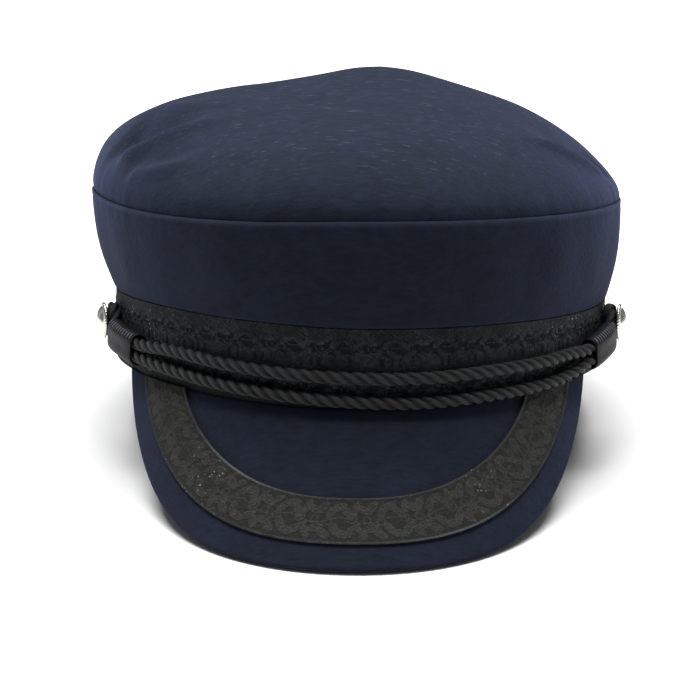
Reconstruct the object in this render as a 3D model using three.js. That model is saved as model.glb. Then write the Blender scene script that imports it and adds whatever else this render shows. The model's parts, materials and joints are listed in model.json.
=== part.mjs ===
// A fisherman's cap in navy wool. An oval band of black braid carries a soft crown, which is a puffed side panel and
// a domed top sewn to it along a seam. A stiff, wool-covered peak with a U of braid hangs from the front of the band,
// and a doubled twisted cord runs above it from button to button, held together near each end by a leather slide.
//
// Millimetres, +Z up. The front of the cap is towards -Y, and the wearer's left is towards +X.
// The cap stands as it does on a table, on the back of its band and on the tip of its peak, so its own frame leans
// back by LEAN. In that inner frame the band's bottom edge is level at the front, at height 0.
import * as THREE from "three";

const GAP = 0.3; // between neighbouring pieces

// Head and band
const HEAD_WIDTH = 164; // inside the band; with HEAD_LENGTH this oval is 577 mm round
const HEAD_LENGTH = 202;
const BAND_WALL = 2.6;
const BAND_HEIGHT = 26;
const BAND_ARCH = 5.5; // how far the bottom edge rises over the ears
const OVAL_X = HEAD_WIDTH / 2 + BAND_WALL;
const OVAL_Y = HEAD_LENGTH / 2 + BAND_WALL;

// Crown
const CLOTH = 2.4;
const SIDE_HEIGHT = 36; // from the band's top edge to the seam
const TOP_RISE = 41.7; // from the seam to the highest point of the top
const APEX = new THREE.Vector2(6, 12);
const APEX_POINT = { rise: 4.5, spread: 22 }; // the small extra point where the top is pushed up
const CROWN_SHIFT = -1.9; // the soft crown has slumped this far sideways by the height of the seam

// How much higher than level the crown's lower edge and its seam lie. Angles run round from the front, in degrees,
// positive towards +X.
const CROWN_EDGES = [
  { angle: -180, lower: 0, seam: 0 },
  { angle: -120, lower: 1.4, seam: 0.7 },
  { angle: -80, lower: 2.4, seam: 0.3 },
  { angle: -50, lower: 2.6, seam: -1.5 },
  { angle: -25, lower: 1.4, seam: -1.4 },
  { angle: 0, lower: 0.2, seam: -0.2 },
  { angle: 30, lower: 0.3, seam: -0.4 },
  { angle: 60, lower: 0.1, seam: -1 },
  { angle: 90, lower: -0.1, seam: -1.4 },
  { angle: 135, lower: 0, seam: -0.7 },
  { angle: 180, lower: 0, seam: 0 },
];

// The side panel's outer face, from the band up to the seam: how far it stands out from the band.
const SIDE_PROFILE = [
  { height: 0, out: 0.2 },
  { height: 2, out: 1 },
  { height: 5.5, out: 2.2 },
  { height: 11, out: 4 },
  { height: 19, out: 5.8 },
  { height: 28, out: 6.7 },
  { height: 36, out: 7.1 },
];

// How full the top is towards each direction: 1 is as round as a ball, more is flatter at the edge.
const TOP_FULLNESS = [
  { angle: -180, power: 1.1 },
  { angle: -135, power: 0.95 },
  { angle: -90, power: 0.8 },
  { angle: -45, power: 0.95 },
  { angle: 0, power: 1.1 },
  { angle: 45, power: 1.2 },
  { angle: 90, power: 1.3 },
  { angle: 135, power: 1.2 },
  { angle: 180, power: 1.1 },
];

// Soft folds in the top, each from one point to another in plan. Height is above the smooth cloth: on the wearer's
// right three ridges with a hollow between each two, and on the left one of each.
const TOP_FOLDS = [
  { x1: -88, y1: -6, x2: -38, y2: -29, width: 6, height: 1.8 },
  { x1: -90, y1: -28, x2: -48, y2: -38, width: 6, height: -1.8 },
  { x1: -90, y1: -41, x2: -40, y2: -49, width: 6, height: 2.2 },
  { x1: -88, y1: -48, x2: -46, y2: -68, width: 6, height: -1.6 },
  { x1: -84, y1: -54, x2: -42, y2: -80, width: 6, height: 1.2 },
  { x1: 90, y1: -20, x2: 48, y2: -52, width: 6, height: 1.6 },
  { x1: 90, y1: -8, x2: 58, y2: -36, width: 6, height: -1.2 },
  { x1: 76, y1: -8, x2: 30, y2: 10, width: 18, height: 1.3 },
];

// Peak
const PEAK_THICKNESS = 3;
const PEAK_SLOPE = THREE.MathUtils.degToRad(50.5); // below the plane of the band
const PEAK_HEM = 1.4; // the rim that is pressed flat where the tip stands on a table
const PEAK_ROOT = 1; // how far up the band's face its top begins
// Curves on the peak: half the angle that they span round the band, how far they reach from it, and how full
// their corners are.
const PEAK_EDGE = { span: 64, reach: 61, fullness: 4 };
const BRAID_OUTER = { span: 56.2, reach: 51.6, fullness: 3.2 };
const BRAID_INNER = { span: 41, reach: 34.6, fullness: 2.65 };
const BRAID_THICKNESS = 1;
const BRAID_START = 3; // its ends stop this far from the band, under the cord

// Cord, slides and buttons
const CORD_RADIUS = 2.15;
// The tilt is how much the cord climbs towards the back there, in degrees.
const BUTTON = { tilt: 27, radius: 6.2, shank: 2, underside: 5.3 };
const SLIDE = { wall: 0.8, slack: 0.25 };
const CORD_PAIR = 4.4; // between the two runs in a slide, centre to centre
// The cap has turned a little against its cord, so the fittings sit further back on one side. A slide runs from one
// angle to another, and its middle line climbs from low to high.
const FITTINGS = [
  { side: "left", sign: 1, from: 62.3, to: 75, low: 12, high: 15.4, button: 79.2, height: 19.6 },
  { side: "right", sign: -1, from: 56.3, to: 69, low: 12.8, high: 15.4, button: 73.3, height: 19.2 },
];
// The heights of the two runs along the band.
const CORD_RUNS = [
  { angle: -45, upper: 15, lower: 8.6 },
  { angle: -30, upper: 13.1, lower: 6.1 },
  { angle: -15, upper: 11.4, lower: 4.2 },
  { angle: 0, upper: 10.6, lower: 2.8 },
  { angle: 15, upper: 10.5, lower: 2.4 },
  { angle: 30, upper: 11.7, lower: 3.6 },
  { angle: 45, upper: 12.8, lower: 5.1 },
  { angle: 55, upper: 13.7, lower: 7 },
];

const STEPS_ROUND = 72; // sections round the band and crown
const RINGS_TOP = 13; // rings from the seam to the apex
const COLUMNS_PEAK = 40;
const STEPS_CORD = 112;

const radians = THREE.MathUtils.degToRad;

// The point of the oval at an angle from the front, pushed out from the band's face.
function onOval(angle, out, height) {
  return new THREE.Vector3(
    (OVAL_X + out) * Math.sin(angle),
    -(OVAL_Y + out) * Math.cos(angle),
    height,
  );
}

// The direction straight out of the band at an angle.
function outward(angle) {
  return new THREE.Vector3(Math.sin(angle) / OVAL_X, -Math.cos(angle) / OVAL_Y, 0).normalize();
}

// A value read from a table of rows, by a smooth curve through them.
function reader(rows, key, value) {
  return (at) => {
    const last = rows.length - 1;
    const next = Math.min(last, Math.max(1, rows.findIndex((row) => row[key] >= at)));
    const from = rows[next - 1];
    const to = rows[next];
    const t = THREE.MathUtils.clamp((at - from[key]) / (to[key] - from[key]), 0, 1);
    const before = rows[Math.max(0, next - 2)];
    const after = rows[Math.min(last, next + 1)];
    const slope = (a, b) => (b[value] - a[value]) / Math.max(1e-9, b[key] - a[key]);
    const span = to[key] - from[key];
    const m0 = slope(before, to) * span;
    const m1 = slope(from, after) * span;
    const t2 = t * t;
    const t3 = t2 * t;
    return (
      (2 * t3 - 3 * t2 + 1) * from[value] +
      (t3 - 2 * t2 + t) * m0 +
      (3 * t2 - 2 * t3) * to[value] +
      (t3 - t2) * m1
    );
  };
}

// A closed skin over rings that have the same number of points. Rings that come back to the first are joined to it;
// otherwise the two ends are closed by fans to the points in tips.
function loft(rings, tips) {
  const count = rings[0].length;
  const points = rings.flat();
  const index = [];
  const spans = tips ? rings.length - 1 : rings.length;
  for (let i = 0; i < spans; i++) {
    const here = i * count;
    const there = ((i + 1) % rings.length) * count;
    for (let j = 0; j < count; j++) {
      const k = (j + 1) % count;
      index.push(here + j, here + k, there + k, here + j, there + k, there + j);
    }
  }
  if (tips) {
    const end = (rings.length - 1) * count;
    for (let j = 0; j < count; j++) {
      const k = (j + 1) % count;
      index.push(points.length, k, j, points.length + 1, end + j, end + k);
    }
    points.push(...tips);
  }
  const geometry = new THREE.BufferGeometry().setFromPoints(points).setIndex(index);
  return facingOut(geometry);
}

// Turns the faces of a closed skin outwards.
function facingOut(geometry) {
  const place = geometry.getAttribute("position");
  const index = geometry.index.array;
  const corner = [0, 1, 2].map(() => new THREE.Vector3());
  let volume = 0;
  for (let i = 0; i < index.length; i += 3) {
    corner.forEach((c, k) => c.fromBufferAttribute(place, index[i + k]));
    volume += corner[0].dot(corner[1].cross(corner[2]));
  }
  if (volume < 0) {
    for (let i = 0; i < index.length; i += 3) {
      [index[i + 1], index[i + 2]] = [index[i + 2], index[i + 1]];
    }
  }
  geometry.computeVertexNormals();
  return geometry;
}

function centreOf(ring) {
  return ring.reduce((sum, p) => sum.add(p), new THREE.Vector3()).divideScalar(ring.length);
}

// A list of what make gives for each of this many directions round the cap, from the back.
function round(steps, make) {
  return Array.from({ length: steps }, (_, i) => make(-Math.PI + (i / steps) * 2 * Math.PI));
}

// Evenly spaced values from low to high, both included.
function between(low, high, steps) {
  return Array.from({ length: steps + 1 }, (_, i) => low + ((high - low) * i) / steps);
}

// Band: a low oval wall whose bottom edge arches over the ears.
const archAt = (angle) => BAND_ARCH * Math.sin(angle) ** 2;
const lowerEdge = reader(CROWN_EDGES, "angle", "lower");
const bandTop = (angle) => BAND_HEIGHT + lowerEdge(THREE.MathUtils.radToDeg(angle));

function bandGeometry() {
  const section = (angle) => {
    const top = (out) => onOval(angle, out, bandTop(angle));
    const bottom = (out) => onOval(angle, out, archAt(angle));
    const middle = (out) => top(out).lerp(bottom(out), 0.5);
    return [bottom(0), middle(0), top(0), top(-BAND_WALL), middle(-BAND_WALL), bottom(-BAND_WALL)];
  };
  return loft(round(STEPS_ROUND, section));
}

// Crown side: cloth that puffs out over the band and stands up to the seam.
const SEAM_HEIGHT = BAND_HEIGHT + GAP + SIDE_HEIGHT;
const seamLift = reader(CROWN_EDGES, "angle", "seam");
const seamHeight = (angle) => SEAM_HEIGHT + seamLift(THREE.MathUtils.radToDeg(angle));

function sideGeometry() {
  const out = reader(SIDE_PROFILE, "height", "out");
  const heights = SIDE_PROFILE.map((row) => row.height);
  const section = (angle) => {
    const face = (inset) => (h) => {
      const share = h / SIDE_HEIGHT;
      const height = THREE.MathUtils.lerp(bandTop(angle) + GAP, seamHeight(angle), share);
      const point = onOval(angle, out(h) - inset, height);
      point.x += CROWN_SHIFT * share;
      return point;
    };
    return [...heights.map(face(0)), ...heights.map(face(CLOTH)).reverse()];
  };
  return loft(round(STEPS_ROUND, section));
}

// Crown top: rays run from the seam to the apex, and the rise along each follows the table of fullness.
const SEAM_OUT = SIDE_PROFILE.at(-1).out - 0.3;

function foldsAt(x, y) {
  return TOP_FOLDS.reduce((sum, fold) => {
    const along = new THREE.Vector2(fold.x2 - fold.x1, fold.y2 - fold.y1);
    const from = new THREE.Vector2(x - fold.x1, y - fold.y1);
    const share = from.dot(along) / along.lengthSq();
    const away = Math.abs(from.cross(along)) / along.length();
    const ends = THREE.MathUtils.smoothstep(share, -0.15, 0.25) * (1 - THREE.MathUtils.smoothstep(share, 0.5, 1.25));
    return sum + fold.height * ends * Math.exp(-((away / fold.width) ** 2));
  }, 0);
}

function topSurface(angle, radius) {
  const power = reader(TOP_FULLNESS, "angle", "power")(THREE.MathUtils.radToDeg(angle));
  const seam = onOval(angle, SEAM_OUT, 0);
  seam.x += CROWN_SHIFT;
  const x = THREE.MathUtils.lerp(APEX.x, seam.x, radius);
  const y = THREE.MathUtils.lerp(APEX.y, seam.y, radius);
  const ball = Math.sqrt(Math.max(0, 1 - radius * radius)) ** power;
  const fromApex = Math.hypot(x - APEX.x, y - APEX.y);
  const point = APEX_POINT.rise * Math.exp(-((fromApex / APEX_POINT.spread) ** 2));
  const edge = THREE.MathUtils.smoothstep(1 - radius, 0, 0.12);
  const rise = (TOP_RISE - APEX_POINT.rise) * ball + point + foldsAt(x, y) * edge;
  const level = THREE.MathUtils.lerp(SEAM_HEIGHT, seamHeight(angle), radius);
  return new THREE.Vector3(x, y, level + GAP + rise);
}

// The point this deep below the top, square to it.
function underTop(angle, radius, depth) {
  const step = 1e-3;
  const inner = Math.max(radius, 0.02);
  const here = topSurface(angle, inner);
  const acrossRay = topSurface(angle + step, inner).sub(topSurface(angle - step, inner));
  const alongRay = topSurface(angle, Math.min(1, inner + step)).sub(topSurface(angle, inner - step));
  const normal = alongRay.cross(acrossRay).normalize();
  if (radius >= 1) normal.copy(outward(angle));
  return topSurface(angle, radius).addScaledVector(normal, -depth);
}

function topGeometry() {
  // Rings are closer together near the seam, where the cloth turns over.
  const radii = between(0, Math.PI / 2, RINGS_TOP).map((a) => Math.sin(a)).slice(1);
  const outer = radii.map((r) => round(STEPS_ROUND, (angle) => topSurface(angle, r)));
  const inner = radii.map((r) => round(STEPS_ROUND, (angle) => underTop(angle, r, CLOTH))).reverse();
  return loft([...outer, ...inner], [topSurface(0, 0), underTop(0, 0, CLOTH)]);
}

// Peak: straight lines run down and forward from the band's face, as long as the edge curve says.
const PEAK_DOWN = new THREE.Vector3(0, -Math.cos(PEAK_SLOPE), -Math.sin(PEAK_SLOPE));

function reachAt(curve, share) {
  return curve.reach * Math.max(0, 1 - Math.abs(share) ** curve.fullness) ** (1 / 1.5);
}

function onPeak(angle, reach) {
  return onOval(angle, GAP, archAt(angle) + PEAK_ROOT).addScaledVector(PEAK_DOWN, reach);
}

// Straight out of the peak's upper face.
function peakNormal(angle) {
  const step = 1e-3;
  const across = onPeak(angle + step, 0).sub(onPeak(angle - step, 0));
  return across.cross(PEAK_DOWN).negate().normalize();
}

function peakGeometry() {
  const rows = 4;
  const column = (share) => {
    const angle = radians(PEAK_EDGE.span) * share;
    const reach = Math.max(1.2, reachAt(PEAK_EDGE, share));
    const down = peakNormal(angle).multiplyScalar(-PEAK_THICKNESS);
    const hem = Math.min(PEAK_HEM, reach / 2);
    const upper = [...between(0, reach - hem, rows), reach].map((r) => onPeak(angle, r));
    const lower = upper.map((p) => p.clone().add(down)).reverse().slice(0, -1);
    // Below the band the peak runs back under its edge, where the two are sewn together.
    const seat = archAt(angle) - GAP;
    const tongue = [onOval(angle, -BAND_WALL, seat - PEAK_THICKNESS), onOval(angle, -BAND_WALL, seat)];
    return [...upper, ...lower, ...tongue, onOval(angle, GAP, seat)];
  };
  const shares = between(-Math.PI / 2, Math.PI / 2, COLUMNS_PEAK).map((a) => Math.sin(a));
  const columns = shares.map(column);
  return loft(columns, [centreOf(columns[0]), centreOf(columns.at(-1))]);
}

// The braid on the peak: a strip between its two edge curves, a little above the wool.
function peakBraidGeometry() {
  const across = 3;
  const slice = (turn) => {
    const curve = (edge) => {
      const share = Math.sin(turn);
      return { angle: radians(edge.span) * share, reach: Math.max(BRAID_START, reachAt(edge, share)) };
    };
    const [outer, inner] = [curve(BRAID_OUTER), curve(BRAID_INNER)];
    const line = (lift) => (t) => {
      const angle = THREE.MathUtils.lerp(outer.angle, inner.angle, t);
      const reach = THREE.MathUtils.lerp(outer.reach, inner.reach, t);
      return onPeak(angle, reach).addScaledVector(peakNormal(angle), GAP + lift);
    };
    const steps = between(0, 1, across);
    return [...steps.map(line(0)), ...steps.map(line(BRAID_THICKNESS)).reverse()];
  };
  const slices = between(-Math.PI / 2, Math.PI / 2, COLUMNS_PEAK).map(slice);
  return loft(slices, [centreOf(slices[0]), centreOf(slices.at(-1))]);
}

// A frame on the band's face: +Z straight out, +X along the band away from -X, both turned up by the tilt.
function frameOnBand(degrees, out, height, tilt = 0) {
  const angle = radians(degrees);
  const z = outward(angle);
  const y = new THREE.Vector3(0, 0, 1);
  const x = new THREE.Vector3().crossVectors(y, z);
  return new THREE.Matrix4()
    .makeBasis(x, y, z)
    .setPosition(onOval(angle, out, height))
    .multiply(new THREE.Matrix4().makeRotationZ(radians(tilt)));
}

// Cord: one closed loop that goes along the band twice and round the shank of each button.
const CORD_OUT = CORD_RADIUS + 2 * GAP;
const SLIDE_OUT = GAP + SLIDE.wall + SLIDE.slack + CORD_RADIUS;
const buttonFrame = ({ sign, button, height }) => frameOnBand(sign * button, 0, height, sign * BUTTON.tilt);

// A point of a slide's cross-section, at a share of its length: so far out from its middle line, and so far up.
function inSlide({ sign, from, to, low, high }, share, outwards, upwards) {
  const middle = (s) => {
    const angle = sign * radians(THREE.MathUtils.lerp(from, to, s));
    return onOval(angle, SLIDE_OUT, THREE.MathUtils.lerp(low, high, s));
  };
  const step = 1e-3;
  const along = middle(share + step).sub(middle(share - step)).normalize();
  const out = outward(sign * radians(THREE.MathUtils.lerp(from, to, share)));
  out.addScaledVector(along, -out.dot(along)).normalize();
  const up = new THREE.Vector3().crossVectors(out, along).multiplyScalar(sign);
  return middle(share).addScaledVector(out, outwards).addScaledVector(up, upwards);
}

function cordCurve() {
  // From the middle of the front to where the run leaves the slide.
  const run = (fitting, which) => {
    const { sign } = fitting;
    const offset = which === "upper" ? CORD_PAIR / 2 : -CORD_PAIR / 2;
    const rows = CORD_RUNS.filter((row) => row.angle * sign >= 0).sort((a, b) => (a.angle - b.angle) * sign);
    const open = rows.map((row) => onOval(radians(row.angle), CORD_OUT, row[which]));
    const held = [-0.1, 0.2, 0.5, 0.8, 1.08].map((share) => inSlide(fitting, share, 0, offset));
    return [...open, ...held];
  };
  // Round the shank, from above it to below.
  const eye = (fitting) => {
    const radius = BUTTON.shank + CORD_RADIUS + GAP;
    return [100, 60, 20, -20, -60, -100].map((degrees) => {
      const a = radians(degrees);
      const point = new THREE.Vector3(fitting.sign * radius * Math.cos(a), radius * Math.sin(a), CORD_OUT);
      return point.applyMatrix4(buttonFrame(fitting));
    });
  };
  const [left, right] = FITTINGS;
  const points = [
    ...run(left, "upper"),
    ...eye(left),
    ...run(left, "lower").reverse(),
    ...run(right, "lower").slice(1),
    ...eye(right).reverse(),
    ...run(right, "upper").slice(1).reverse(),
  ];
  return new THREE.CatmullRomCurve3(points, true, "centripetal");
}

// Slide: a flat sleeve of leather round both runs of cord, bent with the band.
function slideGeometry(fitting) {
  const hole = CORD_RADIUS + SLIDE.slack;
  const bends = 8;
  const outline = [1, -1].flatMap((half) =>
    between(0, Math.PI, bends).map((a) => ({ out: half * Math.cos(a), up: half * Math.sin(a), half })),
  );
  const stations = between(0, 1, 3);
  const sections = outline.map(({ out, up, half }) => {
    const line = (radius) => (share) =>
      inSlide(fitting, share, radius * out, radius * up + (half * CORD_PAIR) / 2);
    return [...stations.map(line(hole + SLIDE.wall)), ...stations.map(line(hole)).reverse()];
  });
  return loft(sections);
}

// Button: a domed metal cap with a rolled rim, on a plain shank.
function buttonGeometry() {
  const { radius, shank, underside } = BUTTON;
  const profile = [
    [0, GAP],
    [shank, GAP],
    [shank, underside],
    [radius - 0.9, underside],
    [radius - 0.1, underside + 0.4],
    [radius, underside + 0.9],
    [radius - 0.3, underside + 1.4],
    [radius - 1, underside + 1.6],
    [radius - 1.4, underside + 1.9],
    [radius - 2.6, underside + 2.8],
    [radius - 4.2, underside + 3.4],
    [0, underside + 3.7],
  ].map(([r, h]) => new THREE.Vector2(r, h));
  return new THREE.LatheGeometry(profile, 24).rotateX(Math.PI / 2);
}

// Finishes
const wool = new THREE.MeshStandardMaterial({ color: 0x22293b, roughness: 0.95, metalness: 0 });
const braid = new THREE.MeshStandardMaterial({ color: 0x232322, roughness: 0.75, metalness: 0 });
const cordage = new THREE.MeshStandardMaterial({ color: 0x1a1a1b, roughness: 0.6, metalness: 0 });
const leather = new THREE.MeshStandardMaterial({ color: 0x1b1a1e, roughness: 0.45, metalness: 0 });
const nickel = new THREE.MeshStandardMaterial({ color: 0xc9c9c6, roughness: 0.2, metalness: 1 });

function piece(name, geometry, material) {
  const mesh = new THREE.Mesh(geometry, material);
  mesh.name = name;
  return mesh;
}

const cap = new THREE.Group();
cap.add(piece("hat_band", bandGeometry(), braid));
cap.add(piece("crown_side", sideGeometry(), wool));
cap.add(piece("crown_top", topGeometry(), wool));
cap.add(piece("peak", peakGeometry(), wool));
cap.add(piece("peak_braid", peakBraidGeometry(), braid));
const tube = new THREE.TubeGeometry(cordCurve(), STEPS_CORD, CORD_RADIUS, 8, true);
cap.add(piece("chin_cord", tube, cordage));

for (const fitting of FITTINGS) {
  cap.add(piece(`slide_${fitting.side}`, slideGeometry(fitting), leather));

  const button = piece(`button_${fitting.side}`, buttonGeometry(), nickel);
  button.applyMatrix4(buttonFrame(fitting));
  cap.add(button);
}

// The cap leans back until the tip of the peak and the back of the band are level.
const tip = onPeak(0, PEAK_EDGE.reach).addScaledVector(peakNormal(0), -PEAK_THICKNESS);
const LEAN = Math.atan2(-tip.z, OVAL_Y - tip.y);
cap.rotation.x = -LEAN;
const PRESSED = 1.2; // how far the edges that touch the table are pressed flat

// Lifts the cap onto the table, centres it, and flattens what would reach below the table.
cap.updateMatrixWorld(true);
const box = new THREE.Box3().setFromObject(cap, true);
const middle = box.getCenter(new THREE.Vector3());
cap.position.set(-middle.x, -middle.y, -box.min.z - PRESSED);
cap.updateMatrixWorld(true);
for (const mesh of cap.children) {
  const place = mesh.geometry.getAttribute("position");
  const back = mesh.matrixWorld.clone().invert();
  const point = new THREE.Vector3();
  for (let i = 0; i < place.count; i++) {
    point.fromBufferAttribute(place, i).applyMatrix4(mesh.matrixWorld);
    if (point.z < 0) {
      point.setZ(0).applyMatrix4(back);
      place.setXYZ(i, point.x, point.y, point.z);
    }
  }
}

const model = new THREE.Group();
model.add(cap);
export default model;
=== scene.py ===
# %% [markdown]
# # A fisherman's cap in navy wool
# The real cap is a low band of black braid, a puffed crown in two panels of felted wool, a stiff
# peak covered in the same wool with a U of braid on it, and a twisted cord that runs twice along
# the front between two metal buttons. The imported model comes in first. It fixes where everything
# is, so no piece below has to be fitted by eye.

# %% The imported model
import json
import math

import bpy
import numpy as np
from mathutils import Matrix, Vector

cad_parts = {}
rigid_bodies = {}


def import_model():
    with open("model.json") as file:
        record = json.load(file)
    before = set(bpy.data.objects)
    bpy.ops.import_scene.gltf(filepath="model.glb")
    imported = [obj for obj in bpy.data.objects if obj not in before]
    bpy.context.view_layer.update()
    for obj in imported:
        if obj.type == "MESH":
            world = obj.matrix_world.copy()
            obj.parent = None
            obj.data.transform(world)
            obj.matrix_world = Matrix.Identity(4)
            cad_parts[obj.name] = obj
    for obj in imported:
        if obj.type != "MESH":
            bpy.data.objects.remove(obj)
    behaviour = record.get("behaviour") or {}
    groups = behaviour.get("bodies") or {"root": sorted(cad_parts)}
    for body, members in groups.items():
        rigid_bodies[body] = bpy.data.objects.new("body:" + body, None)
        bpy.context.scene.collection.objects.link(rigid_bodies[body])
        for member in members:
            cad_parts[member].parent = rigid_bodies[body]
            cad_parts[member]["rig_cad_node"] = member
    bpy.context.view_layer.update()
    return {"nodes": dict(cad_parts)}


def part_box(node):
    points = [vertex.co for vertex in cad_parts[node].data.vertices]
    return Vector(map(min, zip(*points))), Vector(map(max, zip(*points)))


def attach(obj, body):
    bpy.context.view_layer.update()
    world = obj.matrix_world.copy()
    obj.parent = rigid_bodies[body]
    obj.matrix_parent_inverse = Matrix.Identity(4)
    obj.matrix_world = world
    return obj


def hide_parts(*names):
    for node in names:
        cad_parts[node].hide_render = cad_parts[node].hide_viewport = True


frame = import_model()

# %% [markdown]
# The cap rests on the back of its band and on the tip of its peak, so its own level leans back from
# the table. Every shape is easiest to think of in the cap's own level, in millimetres, with the
# band's front edge at height 0. One function stands such points on the table and turns them into
# metres.

# %% The cap's own level
LEAN = 0.1941625
CAP_PLACE = np.array([0.7974, 14.1339, 19.0130])
OVAL_X = 84.6
OVAL_Y = 103.6


def turn_back(vectors, lean):
    """Leans points or directions backwards."""
    x, y, z = np.moveaxis(np.asarray(vectors, float), -1, 0)
    back = y * math.cos(lean) + z * math.sin(lean)
    up = z * math.cos(lean) - y * math.sin(lean)
    return np.stack([x, back, up], -1)


def stand(points):
    """Points of the cap's own level, in millimetres, as points of the scene, in metres."""
    return (turn_back(points, LEAN) + CAP_PLACE) / 1000


def lay_level(points):
    """The other way round: points of the scene as points of the cap's own level."""
    return turn_back(np.asarray(points, float) * 1000 - CAP_PLACE, -LEAN)


def on_oval(angle, out, height):
    """The point of the band's face at an angle from the front, pushed out from it."""
    angle, out, height = np.broadcast_arrays(*(np.asarray(v, float) for v in (angle, out, height)))
    return np.stack([(OVAL_X + out) * np.sin(angle), -(OVAL_Y + out) * np.cos(angle), height], -1)


def outward(angle):
    """The direction straight out of the band at an angle."""
    way = np.stack([np.sin(angle) / OVAL_X, -np.cos(angle) / OVAL_Y, np.zeros_like(angle)], -1)
    return way / np.linalg.norm(way, axis=-1, keepdims=True)


def cubic(t, start, lead, end, trail):
    """A curve from start to end as t goes from 0 to 1, with a given slope at each end."""
    return (
        (2 * t**3 - 3 * t**2 + 1) * start
        + (t**3 - 2 * t**2 + t) * lead
        + (3 * t**2 - 2 * t**3) * end
        + (t**3 - t**2) * trail
    )


def read_table(at, columns):
    """A smooth curve through a table: the same cubic that the solids are made with."""
    keys, values = (np.array(column, float) for column in zip(*columns))
    at = np.asarray(at, float)
    after = np.clip(np.searchsorted(keys, at), 1, len(keys) - 1)
    start = after - 1
    before = np.maximum(start - 1, 0)
    beyond = np.minimum(after + 1, len(keys) - 1)
    span = keys[after] - keys[start]
    t = np.clip((at - keys[start]) / span, 0, 1)
    lead = (values[after] - values[before]) / (keys[after] - keys[before]) * span
    trail = (values[beyond] - values[start]) / (keys[beyond] - keys[start]) * span
    return cubic(t, values[start], lead, values[after], trail)


def ease(value, low, high):
    """0 below low, 1 above high, and smooth between."""
    t = np.clip((value - low) / (high - low), 0, 1)
    return t * t * (3 - 2 * t)


band_low, band_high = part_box("hat_band")
print("band in mm:", [round((high - low) * 1000, 1) for low, high in zip(band_low, band_high)])

# %% [markdown]
# A long lens far from the cap keeps the sides of the crown upright, as in a catalogue picture. The
# camera is set first, because every later choice of detail depends on how large a thread looks
# through it.

# %% Camera
CAMERA_PLACE = Vector((0.02834, -1.41099, 0.50475))
CAMERA_AIM = Vector((-0.00263, 0.01040, 0.02651))
CAMERA_ROLL = math.radians(0.35)

bpy.ops.object.camera_add(location=CAMERA_PLACE)
camera = bpy.context.object
camera.name = "camera"
camera.data.lens = 222.4
camera.data.sensor_width = 36
camera.data.clip_start = 0.1
facing = (CAMERA_AIM - CAMERA_PLACE).to_track_quat("-Z", "Y")
rolled = Matrix.Rotation(CAMERA_ROLL, 4, "Z").to_quaternion()
camera.rotation_mode = "QUATERNION"
camera.rotation_quaternion = facing @ rolled
bpy.context.scene.camera = camera
print("camera is", round((CAMERA_AIM - CAMERA_PLACE).length, 2), "m away")

# %% [markdown]
# Dark wool shows its shape only by soft light. One large lamp hangs above and a little behind the
# cap, so the top of the crown is bright, while its side and the peak below it stay dark. Two weak
# lamps stand beside and behind it. They lift its left and right edges a little. The floor is plain
# and pale.

# %% Floor and lights
FLOOR_WIDTH = 12
FLOOR_DROP = 0.0003
SKY_STRENGTH = 0.185

bpy.ops.mesh.primitive_plane_add(size=FLOOR_WIDTH, location=(0, 0, -FLOOR_DROP))
floor = bpy.context.object
floor.name = "floor"

world = bpy.data.worlds.new("studio")
world.use_nodes = True
sky = world.node_tree.nodes["Background"]
sky.inputs["Color"].default_value = (1, 1, 1, 1)
sky.inputs["Strength"].default_value = SKY_STRENGTH
bpy.context.scene.world = world
bpy.context.scene.view_settings.view_transform = "Standard"


def add_lamp(name, place, aim, width, depth, power):
    bpy.ops.object.light_add(type="AREA", location=place)
    lamp = bpy.context.object
    lamp.name = name
    lamp.data.shape = "RECTANGLE"
    lamp.data.size = width
    lamp.data.size_y = depth
    lamp.data.energy = power
    lamp.rotation_euler = (Vector(aim) - Vector(place)).to_track_quat("-Z", "Y").to_euler()


add_lamp("lamp_above", (-0.06, 0.44, 1.72), (0, 0, 0), 1.7, 1.3, 85)
add_lamp("lamp_left", (-1.3, 0.5, 0.6), (0, 0, 0.07), 0.5, 1.0, 0.4)
add_lamp("lamp_right", (1.3, 0.5, 0.6), (0, 0, 0.07), 0.5, 1.0, 0.1)

# %% [markdown]
# ## Finishes
# Every finish is a few nodes: a pattern, a colour that follows it, and a bump. Node graphs are hard
# to read as code, so a small class stands for one number that varies over a surface. Adding or
# multiplying two of them adds a Math node behind the scenes, and the formulas below read like
# formulas.

# %% Numbers that vary over a surface
class Varies:
    """One number, colour or vector that varies over a surface."""

    def __init__(self, finish, socket):
        self.finish = finish
        self.socket = socket

    def math(self, operation, *others):
        inputs = dict(enumerate((self, *others)))
        return self.finish.node("ShaderNodeMath", {"operation": operation}, inputs)

    def __add__(self, other):
        return self.math("ADD", other)

    __radd__ = __add__

    def __mul__(self, other):
        return self.math("MULTIPLY", other)

    def __sub__(self, other):
        return self.math("SUBTRACT", other)

    def __rsub__(self, other):
        return self.finish.node("ShaderNodeMath", {"operation": "SUBTRACT"}, {0: other, 1: self})

    def wave(self):
        """A smooth wave between 0 and 1, once for each 1 that this number rises."""
        return (self * (2 * math.pi)).math("SINE") * 0.5 + 0.5

    def between(self, low, high):
        """0 below low, 1 above high, and smooth between."""
        settings = {"interpolation_type": "SMOOTHSTEP"}
        inputs = {"Value": self, "From Min": low, "From Max": high}
        return self.finish.node("ShaderNodeMapRange", settings, inputs)


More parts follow.
